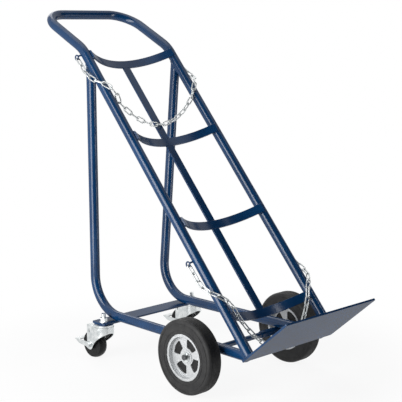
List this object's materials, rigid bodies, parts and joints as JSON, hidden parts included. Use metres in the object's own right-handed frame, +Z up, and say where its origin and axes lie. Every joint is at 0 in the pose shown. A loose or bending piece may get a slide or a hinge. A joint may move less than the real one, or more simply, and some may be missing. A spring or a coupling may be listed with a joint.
{
  "type": "gas cylinder trolley",
  "caption": "Tilted gas cylinder trolley: bent tube frame with curved rungs, toe plate, solid rubber wheels, rear braked swivel casters and securing chains.",
  "frame": {"origin": "on the ground, in the middle of the bounding box seen from above", "axes": "+Z up, the toe plate to -Y (front), the handle and casters to +Y, X across along the axle"},
  "size_m": [0.4366, 0.9773, 0.9852],
  "materials": {
    "blue_enamel": "gloss powder coat, deep blue",
    "zinc_steel": "bright zinc plate",
    "galvanised_chain": "galvanised steel wire",
    "black_rubber": "solid black rubber, satin",
    "silver_rim": "silver-grey satin paint"
  },
  "bodies": {
    "frame": {"main_tube": "blue_enamel", "left_leg_tube": "blue_enamel", "right_leg_tube": "blue_enamel", "top_rung": "blue_enamel", "upper_middle_rung": "blue_enamel", "lower_middle_rung": "blue_enamel", "bottom_rung": "blue_enamel", "upper_strap": "blue_enamel", "middle_strap": "blue_enamel", "lower_strap": "blue_enamel", "toe_plate": "blue_enamel", "left_axle_sleeve": "blue_enamel", "right_axle_sleeve": "blue_enamel", "axle_rod": "blue_enamel", "axle_washers": "zinc_steel", "axle_clips": "zinc_steel", "caster_bar": "blue_enamel", "upper_chain_lugs": "blue_enamel", "lower_chain_lugs": "blue_enamel", "caster_bolts": "zinc_steel", "caster_nuts": "zinc_steel", "caster_washers": "zinc_steel", "caster_races": "zinc_steel", "upper_chain_ends": "galvanised_chain", "lower_chain_ends": "galvanised_chain"},
    "left_wheel": {"left_tyre": "black_rubber", "left_rim": "silver_rim", "left_core": "black_rubber", "left_bush": "zinc_steel"},
    "left_caster": {"left_fork": "zinc_steel", "left_pin_bolt": "zinc_steel", "left_pin_nut": "zinc_steel"},
    "left_caster_roller": {"left_caster_wheel": "black_rubber", "left_caster_bush": "zinc_steel"},
    "left_brake": {"left_brake_pedal": "zinc_steel"},
    "right_wheel": {"right_tyre": "black_rubber", "right_rim": "silver_rim", "right_core": "black_rubber", "right_bush": "zinc_steel"},
    "right_caster": {"right_fork": "zinc_steel", "right_pin_bolt": "zinc_steel", "right_pin_nut": "zinc_steel"},
    "right_caster_roller": {"right_caster_wheel": "black_rubber", "right_caster_bush": "zinc_steel"},
    "right_brake": {"right_brake_pedal": "zinc_steel"},
    "upper_loop": {"upper_chain": "galvanised_chain"},
    "lower_loop": {"lower_chain": "galvanised_chain"}
  },
  "joints": [
    {"name": "left_wheel_spin", "type": "hinge", "parent": "frame", "child": "left_wheel", "pos_m": [-0.196, -0.17465, 0.1], "axis": [1, 0, 0], "continuous": true},
    {"name": "left_caster_swivel", "type": "hinge", "parent": "frame", "child": "left_caster", "pos_m": [-0.1734, 0.19855, 0.099], "axis": [0, 0, 1], "continuous": true},
    {"name": "left_caster_spin", "type": "hinge", "parent": "left_caster", "child": "left_caster_roller", "pos_m": [-0.1734, 0.23855, 0.04], "axis": [1, 0, 0], "continuous": true},
    {"name": "left_brake_press", "type": "hinge", "parent": "left_caster", "child": "left_brake", "pos_m": [-0.1734, 0.23855, 0.04], "axis": [-1, 0, 0], "range_deg": [0, 15]},
    {"name": "right_wheel_spin", "type": "hinge", "parent": "frame", "child": "right_wheel", "pos_m": [0.196, -0.17465, 0.1], "axis": [1, 0, 0], "continuous": true},
    {"name": "right_caster_swivel", "type": "hinge", "parent": "frame", "child": "right_caster", "pos_m": [0.1734, 0.19855, 0.099], "axis": [0, 0, 1], "continuous": true},
    {"name": "right_caster_spin", "type": "hinge", "parent": "right_caster", "child": "right_caster_roller", "pos_m": [0.1734, 0.23855, 0.04], "axis": [1, 0, 0], "continuous": true},
    {"name": "right_brake_press", "type": "hinge", "parent": "right_caster", "child": "right_brake", "pos_m": [0.1734, 0.23855, 0.04], "axis": [-1, 0, 0], "range_deg": [0, 15]},
    {"name": "upper_chain_swing", "type": "hinge", "parent": "frame", "child": "upper_loop", "pos_m": [0, 0.16976, 0.77469], "axis": [-1, 0, 0], "range_deg": [0, 30]},
    {"name": "lower_chain_swing", "type": "hinge", "parent": "frame", "child": "lower_loop", "pos_m": [0, -0.27522, 0.25918], "axis": [-1, 0, 0], "range_deg": [0, 3]}
  ]
}
